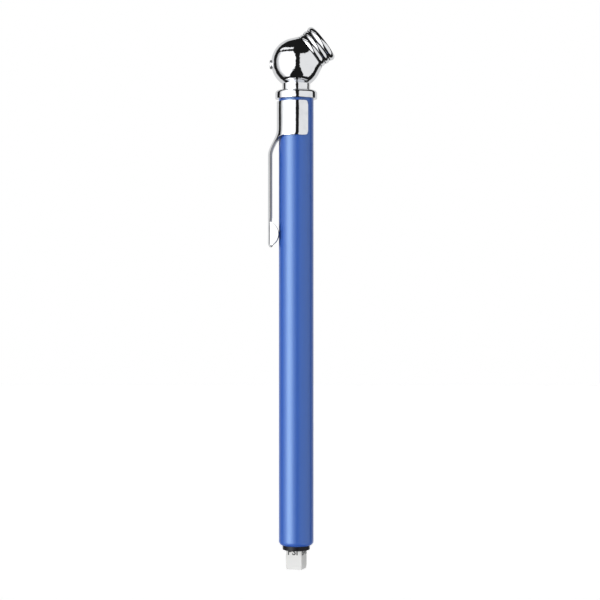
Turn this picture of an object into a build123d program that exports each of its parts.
from build123d import *
import math
import os

# Pencil tire pressure gauge. Millimetres. +Z runs up the barrel's axis to the head, the chuck nozzle
# leans towards +X, and the pocket clip's arm is at -X. The origin is on the barrel's axis, at its lower rim.
# Air from a tire valve enters the nozzle, passes the ball and the neck, and pushes the piston down against
# the main spring. The piston pushes the square indicator bar out of the lower end, where a brake ring
# holds it.

# ---- barrel
tube_od = 9.5
tube_wall = 0.5
tube_top = 123.4  # upper end, hidden in the collar
tube_roll_r = 1.2  # outer radius of the rolled-in lower end
tube_roll_reach = 0.95  # how far the rolled end comes in from the barrel's side

# ---- head
collar_wall = 1.0  # around the barrel
collar_lap = 1.0  # how far the collar reaches down over the barrel
collar_roof = 0.8  # over the gasket
collar_top_r = 0.9
collar_bottom_r = 0.2
neck_od = 7.7
neck_length = 1.85
ball_od = 13.72
spigot_length = 10.8  # plug that fills the barrel's upper end
air_bore = 2.5
gasket_thickness = 0.6

# ---- chuck nozzle
nozzle_tilt = 38.0  # degrees above the horizontal
nozzle_reach = 2.59  # from the ball's surface out to the rim
flare_angle = 25.0  # degrees from the ball's equator to where the flare leaves it
flare_step = 0.35  # the flare ends this far outside the valleys between the beads
bead_widths = (1.45, 1.45, 1.75)  # from the ball outwards
bead_heights = (0.22, 0.34, 0.5)  # over the valleys
socket_bore = 8.0  # takes a 7.7 mm tire valve stem
socket_depth = 4.4  # from the rim to the seal's face
nozzle_wall = 0.98  # round the socket, in the valleys
mouth_chamfer = 0.5
nozzle_air_bore = 2.2
air_chamber_depth = 0.6  # shallow chamber under the depressor's flange

# ---- chuck seal and core depressor
seal_groove = 0.45  # how far the seal's groove is cut out beyond the socket
seal_thickness = 2.2
seal_hole = 4.2
depressor_ledge = 1.05  # the flange is this much smaller in radius than the seal
depressor_flange_thickness = 0.5
depressor_pin_od = 1.6
depressor_pin_chamfer = 0.4
depressor_recess = 0.2  # the pin's tip lies this far under the seal's face
depressor_air_holes = 4
depressor_hole_margin = 0.1  # from an air hole to the pin's side, and to the seal's hole

# ---- deflator pin in the back of the ball
deflator_od = 2.6
deflator_proud = 0.42
deflator_drop = 0.45  # its axis lies this far under the ball's centre
deflator_hole_depth = 3.4
deflator_edge_r = 0.35

# ---- pocket clip
clip_sheet = 0.55
clip_band_height = 9.37
clip_band_gap = 0.73  # between the band's top edge and the collar
clip_opening = 104.8  # degrees, on the nozzle's side
clip_corner_r = 0.9
clip_arm_width = 5.23  # along the curved sheet
clip_arm_offset = 2.42  # how far the arm stands off the band
clip_bend_start = 1.8  # the bend starts this far above the band's lower edge
clip_bend_height = 7.2
clip_web_r = 2.1  # fillet between the band's lower edge and the arm, along the sheet
clip_length = 39.67  # from the band's top edge to the tip
clip_ear_r = 3.37  # radius of the D-shaped ears folded in at the tip
clip_tip_r = 0.5
clip_loft_steps = 6

# ---- tail bush and brake ring
bush_proud = 1.2  # nose below the barrel's rim
bush_top = 6.0  # upper face, above the barrel's rim
bush_edge_r = 0.3
brake_ring_wall = 0.46  # beyond the bar's corners
brake_ring_height = 1.6
spring_seat_thickness = 0.4

# ---- indicator bar and its head
bar_corner_r = 0.4
bar_turn = -17.0  # degrees about the barrel's axis
bar_tip = 6.4  # tip below the barrel's rim at rest
bar_bevel_height = 0.95
bar_bevel_depth = 0.2
stop_lip = 0.06  # how far the head stands out beyond the bar's corners
stop_height = 2.0
stop_spigot_od = 3.2
stop_spigot_length = 1.5

# ---- piston
piston_rest_gap = 1.0  # between the cup's lip and the head's spigot
piston_guide_height = 3.0
piston_hub_height = 4.0
cup_base = 1.2
cup_height = 4.2
cup_lip_wall = 0.7
cup_taper = 0.42  # the cup's base is this much smaller in radius than its lip
cup_washer_thickness = 0.6
screw_head_od = 3.8
screw_head_height = 1.3
screw_head_r = 0.4
screw_shank_od = 2.0
screw_length = 6.0
screw_slot = 0.5

# ---- main spring
spring_wire = 0.75
spring_turns = 18
spring_ground = 0.25  # taken off each end turn to make a flat seat

# ---- clearances
seated = 0.01  # between pieces of one body that are pressed or clamped together
nose_clearance = 0.05  # bush nose in the barrel's rolled opening
cup_clearance = 0.03  # cup lip in the barrel
guide_clearance = 0.1  # piston guide and spring seat in the barrel
spring_clearance = 0.15  # main spring in the barrel
hub_clearance = 0.2  # piston's hub in the spring
stop_clearance = 0.1  # bar's head in the spring
cup_washer_clearance = 0.12  # washer inside the cup's lip
bar_clearance = 0.06  # bar in the bush's square hole
brake_clearance = 0.015  # bar in the brake ring
clip_clearance = 0.03  # clip band round the barrel
bar_rest_gap = 0.1  # bar's head under the piston at rest

# ---- worked out from the sizes above
tube_r = tube_od / 2
tube_ir = tube_r - tube_wall
tube_opening_r = tube_r - tube_roll_reach
collar_r = tube_r + collar_wall
collar_bottom = tube_top - collar_lap
gasket_top = tube_top + gasket_thickness
collar_top = gasket_top + collar_roof
ball_r = ball_od / 2
ball_z = collar_top + neck_length + math.sqrt(ball_r**2 - (neck_od / 2) ** 2)
spigot_bottom = gasket_top - spigot_length
nozzle_end = ball_r + nozzle_reach
valley_r = socket_bore / 2 + nozzle_wall
seal_r = socket_bore / 2 + seal_groove
depressor_flange_r = seal_r - depressor_ledge
socket_floor = nozzle_end - socket_depth
seal_floor = socket_floor - seal_thickness
depressor_floor = seal_floor - depressor_flange_thickness
cup_top = spigot_bottom - piston_rest_gap
cup_bottom = cup_top - cup_height
cup_floor = cup_bottom + cup_base
screw_seat = cup_floor + cup_washer_thickness
piston_shoulder = cup_bottom - piston_guide_height
piston_bottom = piston_shoulder - piston_hub_height
stop_top = piston_bottom - bar_rest_gap
bar_top = stop_top - stop_height
spring_bottom = bush_top + spring_seat_thickness
spring_outer_r = tube_ir - spring_clearance
spring_inner_r = spring_outer_r - spring_wire
stop_r = spring_inner_r - stop_clearance
bar_reach = stop_r - stop_lip  # from the axis to the bar's rounded corners
bar_side = math.sqrt(2) * (bar_reach + bar_corner_r * (math.sqrt(2) - 1))
bush_nose_r = tube_opening_r - nose_clearance
brake_ring_r = bar_reach + brake_ring_wall
cup_lip_r = tube_ir - cup_clearance
clip_top = collar_bottom - clip_band_gap
clip_band_bottom = clip_top - clip_band_height
clip_bend_top = clip_band_bottom + clip_bend_start
clip_bend_bottom = clip_bend_top - clip_bend_height
clip_tip = clip_top - clip_length
clip_inner_r = tube_r + clip_clearance
clip_outer_r = clip_inner_r + clip_sheet
clip_middle_r = clip_inner_r + clip_sheet / 2

# The nozzle's own frame has its origin at the ball's centre and Z out along the nozzle. The heights
# called nozzle_end, socket_floor, seal_floor and depressor_floor are in it.
in_nozzle = Pos(0, 0, ball_z) * Rot(0, 90 - nozzle_tilt, 0)
# The deflator's own frame has its origin on the barrel's axis and Z out towards -X.
in_deflator = Pos(0, 0, ball_z - deflator_drop) * Rot(0, -90, 0)


def write(name, shape):
    shape.label = name
    export_step(shape, f"parts/{name}.step")


def flat(r, z):
    """A point of an outline: radius and height."""
    return Vector(r, 0, z)


def turned(*edges):
    """Solid of revolution about Z from a closed outline of edges."""
    return revolve(make_face(edges), Axis.Z)


def turned_polygon(*points):
    """Solid of revolution about Z from (radius, height) corners."""
    return revolve(make_face(Polyline(*[flat(r, z) for r, z in points], close=True)), Axis.Z)


def rod(radius, low, high):
    return Pos(0, 0, low) * Cylinder(radius, high - low, align=(Align.CENTER, Align.CENTER, Align.MIN))


def ring(outer, inner, low, high):
    return rod(outer, low, high) - rod(inner, low, high)


def rims(solid, radius, height):
    """Circular edges about Z with this radius, at this height."""
    near = 1e-4
    circles = solid.edges().filter_by(GeomType.CIRCLE)
    return [e for e in circles if abs(e.radius - radius) < near and abs(e.arc_center.Z - height) < near]


def square_bar(side, corner, low, high):
    section = Rot(0, 0, bar_turn) * RectangleRounded(side, side, corner)
    return Pos(0, 0, low) * extrude(section, high - low)


def square_hole(clearance, low, high):
    return square_bar(bar_side + 2 * clearance, bar_corner_r + clearance, low, high)


def roll_arc(radius, end_r):
    """Arc about the rolled end's centre, from the straight wall in to radius end_r, and its last point."""
    centre = flat(tube_r - tube_roll_r, tube_roll_r)
    turn = math.acos((end_r - centre.X) / radius)
    middle = centre + flat(radius * math.cos(turn / 2), -radius * math.sin(turn / 2))
    end = centre + flat(radius * math.cos(turn), -radius * math.sin(turn))
    return ThreePointArc(centre + flat(radius, 0), middle, end), end


def make_tube():
    """Barrel: a thin tube whose lower end is rolled in to hold the bush."""
    outer, outer_end = roll_arc(tube_roll_r, tube_opening_r)
    inner, inner_end = roll_arc(tube_roll_r - tube_wall, tube_opening_r)
    return turned(
        Line(flat(tube_r, tube_top), flat(tube_r, tube_roll_r)),
        outer,
        Line(outer_end, inner_end),
        inner,
        Line(flat(tube_ir, tube_roll_r), flat(tube_ir, tube_top)),
        Line(flat(tube_ir, tube_top), flat(tube_r, tube_top)),
    )


def ball_and_nozzle():
    """Ball, flare and beaded nozzle, turned about the nozzle's axis in the nozzle's frame."""
    leave = math.radians(flare_angle)
    flare_start = flat(ball_r * math.cos(leave), ball_r * math.sin(leave))
    beads_start = nozzle_end - sum(bead_widths)
    flare_end = flat(valley_r + flare_step, beads_start)
    back = flat(0, -ball_r)
    at = flat(valley_r, beads_start)
    edges = [
        ThreePointArc(back, flat(ball_r, 0), flare_start),
        Line(flare_start, flare_end),
        Line(flare_end, at),
    ]
    for width, height in zip(bead_widths, bead_heights):
        end = at + flat(0, width)
        edges.append(ThreePointArc(at, at + flat(height, width / 2), end))
        at = end
    edges.append(Line(at, flat(0, nozzle_end)))
    edges.append(Line(flat(0, nozzle_end), back))
    return turned(*edges)


def nozzle_hollow():
    """Mouth, socket, seal groove, depressor seat and air chamber, in the nozzle's frame."""
    flange_r = depressor_flange_r + seated
    groove_r = seal_r + seated
    return turned_polygon(
        (0, depressor_floor - air_chamber_depth),
        (seal_hole / 2, depressor_floor - air_chamber_depth),
        (seal_hole / 2, depressor_floor),
        (flange_r, depressor_floor),
        (flange_r, seal_floor),
        (groove_r, seal_floor),
        (groove_r, socket_floor),
        (socket_bore / 2, socket_floor),
        (socket_bore / 2, nozzle_end - mouth_chamfer),
        (socket_bore / 2 + 2 * mouth_chamfer, nozzle_end + mouth_chamfer),
        (0, nozzle_end + mouth_chamfer),
    )


def head_stem():
    """Spigot, collar with its recess for the barrel, and neck."""
    spigot_r = tube_ir - seated
    recess_r = tube_r + seated
    inside_ball = ball_z - ball_r / 2
    stem = turned_polygon(
        (0, spigot_bottom),
        (spigot_r, spigot_bottom),
        (spigot_r, gasket_top),
        (recess_r, gasket_top),
        (recess_r, collar_bottom),
        (collar_r, collar_bottom),
        (collar_r, collar_top),
        (neck_od / 2, collar_top),
        (neck_od / 2, inside_ball),
        (0, inside_ball),
    )
    stem = fillet(rims(stem, collar_r, collar_top), collar_top_r)
    return fillet(rims(stem, collar_r, collar_bottom), collar_bottom_r)


def make_head():
    """Chromed casting with its air passage from the socket to the spigot's end."""
    head = head_stem() + in_nozzle * ball_and_nozzle()
    head -= in_nozzle * nozzle_hollow()
    head -= in_nozzle * rod(nozzle_air_bore / 2, 0, depressor_floor)
    head -= rod(air_bore / 2, spigot_bottom, ball_z)
    head -= in_deflator * rod(deflator_od / 2 + seated, ball_r - deflator_hole_depth, ball_od)
    return head


def make_chuck_seal():
    return in_nozzle * ring(seal_r, seal_hole / 2, seal_floor, socket_floor)


def make_core_depressor():
    """Flange with air holes, clamped under the seal, and the pin that pushes the valve's core."""
    tip = socket_floor - depressor_recess
    pin_r = depressor_pin_od / 2
    shape = turned_polygon(
        (0, depressor_floor),
        (depressor_flange_r, depressor_floor),
        (depressor_flange_r, seal_floor),
        (pin_r, seal_floor),
        (pin_r, tip - depressor_pin_chamfer),
        (pin_r - depressor_pin_chamfer, tip),
        (0, tip),
    )
    hole_r = (seal_hole / 2 - pin_r) / 2 - depressor_hole_margin
    for place in PolarLocations((pin_r + seal_hole / 2) / 2, depressor_air_holes):
        shape -= place * rod(hole_r, depressor_floor, seal_floor)
    return in_nozzle * shape


def make_deflator_pin():
    end = ball_r + deflator_proud
    pin = rod(deflator_od / 2, ball_r - deflator_hole_depth, end)
    return in_deflator * fillet(rims(pin, deflator_od / 2, end), deflator_edge_r)


def make_head_gasket():
    return ring(tube_r, tube_ir, tube_top, gasket_top)


def make_tail_bush():
    """Plastic plug: a body in the barrel, a shoulder that follows the rolled end, and a nose that shows."""
    body_r = tube_ir - seated
    shoulder, shoulder_low = roll_arc(tube_roll_r - tube_wall - seated, bush_nose_r)
    bush = turned(
        Line(flat(0, -bush_proud), flat(bush_nose_r, -bush_proud)),
        Line(flat(bush_nose_r, -bush_proud), shoulder_low),
        shoulder,
        Line(flat(body_r, tube_roll_r), flat(body_r, bush_top)),
        Line(flat(body_r, bush_top), flat(0, bush_top)),
        Line(flat(0, bush_top), flat(0, -bush_proud)),
    )
    bush = fillet(rims(bush, bush_nose_r, -bush_proud), bush_edge_r)
    bush -= rod(brake_ring_r + seated, bush_top - brake_ring_height, bush_top)
    return bush - square_hole(bar_clearance, -bush_proud, bush_top)


def make_brake_ring():
    low = bush_top - brake_ring_height
    return rod(brake_ring_r, low, bush_top) - square_hole(brake_clearance, low, bush_top)


def make_spring_seat():
    return ring(tube_ir - guide_clearance, spring_inner_r, bush_top, spring_bottom)


def make_main_spring():
    """Open helix with its end turns ground flat."""
    low = spring_bottom + spring_wire / 2 - spring_ground
    high = piston_shoulder - spring_wire / 2 + spring_ground
    coil_r = (spring_outer_r + spring_inner_r) / 2
    path = Helix(pitch=(high - low) / spring_turns, height=high - low, radius=coil_r)
    section = Plane(origin=path @ 0, z_dir=path % 0) * Circle(spring_wire / 2)
    coil = Pos(0, 0, low) * sweep(section, path, is_frenet=True)
    return coil & rod(tube_r, spring_bottom, piston_shoulder)


def make_piston_body():
    """Guide that runs in the barrel, with a hub below it that centres the spring and pushes the bar."""
    guide_r = tube_ir - guide_clearance
    hub_r = spring_inner_r - hub_clearance
    body = turned_polygon(
        (0, piston_bottom),
        (hub_r, piston_bottom),
        (hub_r, piston_shoulder),
        (guide_r, piston_shoulder),
        (guide_r, cup_bottom),
        (0, cup_bottom),
    )
    return body - rod(screw_shank_od / 2 + seated, screw_seat - screw_length - seated, cup_bottom)


def make_piston_cup():
    """Rubber cup whose lip opens towards the air."""
    hole_r = screw_shank_od / 2 + seated
    return turned_polygon(
        (hole_r, cup_bottom),
        (cup_lip_r - cup_taper, cup_bottom),
        (cup_lip_r, cup_floor),
        (cup_lip_r, cup_top),
        (cup_lip_r - cup_lip_wall / 2, cup_top),
        (cup_lip_r - cup_lip_wall, cup_floor + cup_lip_wall),
        (cup_lip_r - 2 * cup_lip_wall, cup_floor),
        (hole_r, cup_floor),
    )


def make_cup_washer():
    washer_r = cup_lip_r - 2 * cup_lip_wall - cup_washer_clearance
    return ring(washer_r, screw_shank_od / 2 + seated, cup_floor, screw_seat)


def make_piston_screw():
    top = screw_seat + screw_head_height
    head = rod(screw_head_od / 2, screw_seat, top)
    head = fillet(rims(head, screw_head_od / 2, top), screw_head_r)
    head -= Pos(0, 0, top) * Box(screw_head_od, screw_slot, screw_head_height)
    return head + rod(screw_shank_od / 2, screw_seat - screw_length, screw_seat)


def make_indicator_bar():
    """Square bar with a bevelled tip, and a round spigot for its head at the inner end."""
    shoulder = -bar_tip + bar_bevel_height
    taper = math.degrees(math.atan(bar_bevel_depth / bar_bevel_height))
    section = Pos(0, 0, shoulder) * Rot(0, 0, bar_turn) * RectangleRounded(bar_side, bar_side, bar_corner_r)
    bar = square_bar(bar_side, bar_corner_r, shoulder, bar_top)
    bar += extrude(section, bar_bevel_height, dir=(0, 0, -1), taper=taper)
    return bar + rod(stop_spigot_od / 2, bar_top, bar_top + stop_spigot_length)


def make_indicator_stop():
    """Round head pressed on the bar's inner end."""
    head = rod(stop_r, bar_top, stop_top)
    return head - rod(stop_spigot_od / 2 + seated, bar_top, bar_top + stop_spigot_length + seated)


def clip_offset(height):
    """How far the clip's sheet stands off the barrel at this height: a smooth S from the band to the arm."""
    share = min(max((clip_bend_top - height) / clip_bend_height, 0), 1)
    return clip_arm_offset * share**2 * (3 - 2 * share)


def clip_half_width(height):
    """Half the arm's straight width, with a fillet where it leaves the band's lower edge."""
    above_arm = clip_web_r - min(max(clip_band_bottom - height, 0), clip_web_r)
    along_sheet = clip_arm_width / 2 + clip_web_r - math.sqrt(clip_web_r**2 - above_arm**2)
    return clip_middle_r * math.sin(along_sheet / clip_middle_r)


def clip_window(half_width, low, high):
    """Block at -X that cuts out the arm's side of the sheet."""
    size = 2 * clip_outer_r
    block = Box(size, 2 * half_width, high - low, align=(Align.MAX, Align.CENTER, Align.MIN))
    return Pos(0, 0, low) * block


def clip_section(height):
    """Face of the curved sheet at this height."""
    shell = Circle(clip_outer_r) - Circle(clip_inner_r)
    window = Rectangle(clip_outer_r, 2 * clip_half_width(height), align=(Align.MAX, Align.CENTER))
    return Pos(-clip_offset(height), 0, height) * (shell & window).face()


def clip_stretch(high, low):
    """The sheet between two heights, lofted through evenly spaced sections."""
    step = (high - low) / clip_loft_steps
    return loft([clip_section(high - step * i) for i in range(clip_loft_steps + 1)], ruled=True)


def clip_ears():
    """Two D-shaped side walls, folded in from the arm, whose round edges reach in to the barrel's side."""
    centre_x = -tube_r - clip_ear_r
    width = 2 * clip_half_width(clip_tip)
    disc = Rot(90, 0, 0) * Cylinder(clip_ear_r, width)
    gap = Box(2 * clip_outer_r, width - 2 * clip_sheet, 2 * clip_ear_r)
    ears = Pos(centre_x, 0, clip_tip + clip_ear_r) * (disc - gap)
    crown = Pos(-clip_arm_offset, 0, 0) * rod(clip_outer_r, clip_tip, clip_tip + 2 * clip_ear_r)
    return ears & crown


def make_pocket_clip():
    """Spring sheet bent from one blank: a C-shaped band, an S-bend, a crowned arm and a folded tip."""
    band = ring(clip_outer_r, clip_inner_r, clip_band_bottom, clip_top)
    half_opening = math.radians(clip_opening / 2)
    reach = 2 * clip_outer_r
    corner = (reach, reach * math.tan(half_opening))
    wedge = make_face(Polyline((0, 0), corner, (corner[0], -corner[1]), close=True))
    band -= Pos(0, 0, clip_band_bottom) * extrude(wedge, clip_band_height)
    end_edges = [e for e in band.edges().filter_by(GeomType.LINE) if abs(e.length - clip_sheet) < 1e-4]
    band = fillet(end_edges, clip_corner_r)
    band -= clip_window(clip_half_width(clip_band_bottom), clip_band_bottom, clip_bend_top)
    web_bottom = clip_band_bottom - clip_web_r
    clip = band + clip_stretch(clip_bend_top, clip_band_bottom)
    clip += clip_stretch(clip_band_bottom, web_bottom)
    clip += clip_stretch(web_bottom, clip_bend_bottom)
    arm = extrude(clip_section(clip_bend_bottom), clip_bend_bottom - clip_tip, dir=(0, 0, -1))
    clip += fillet(rims(arm, clip_outer_r, clip_tip), clip_tip_r)
    return clip + clip_ears()


os.makedirs("parts", exist_ok=True)
write("tube", make_tube())
write("head_casting", make_head())
write("chuck_seal", make_chuck_seal())
write("core_depressor", make_core_depressor())
write("deflator_pin", make_deflator_pin())
write("head_gasket", make_head_gasket())
write("tail_bush", make_tail_bush())
write("brake_ring", make_brake_ring())
write("spring_seat", make_spring_seat())
write("main_spring", make_main_spring())
write("piston_body", make_piston_body())
write("piston_cup", make_piston_cup())
write("cup_washer", make_cup_washer())
write("piston_screw", make_piston_screw())
write("indicator_bar", make_indicator_bar())
write("indicator_stop", make_indicator_stop())
write("pocket_clip", make_pocket_clip())
